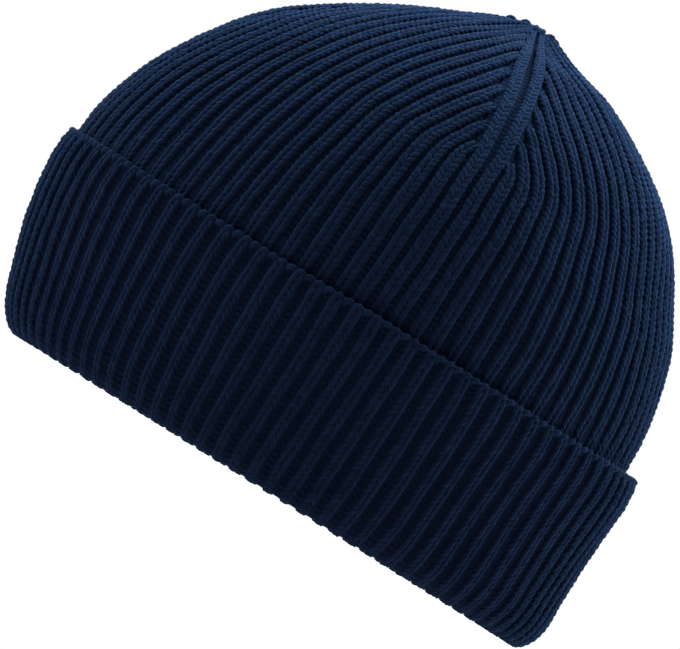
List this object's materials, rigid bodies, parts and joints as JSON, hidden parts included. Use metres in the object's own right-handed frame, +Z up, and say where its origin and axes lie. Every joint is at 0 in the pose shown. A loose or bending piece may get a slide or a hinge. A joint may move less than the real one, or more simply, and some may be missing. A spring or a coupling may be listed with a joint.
{
  "type": "knit hat",
  "caption": "Rib-knit beanie with a gathered crown and a turned-up cuff, hollow where the head goes in.",
  "frame": {"origin": "middle of the footprint, on the surface that the cuff's fold stands on", "axes": "+X along the long way of the head opening, to the right in the picture; +Y across it, away from the viewer; +Z up through the gathered tip"},
  "size_m": [0.2106, 0.1686, 0.1689],
  "materials": {
    "rib_knit": "matte wool-blend yarn in one-by-one rib, navy"
  },
  "bodies": {
    "root": {"crown": "rib_knit", "cuff": "rib_knit"}
  },
  "joints": []
}
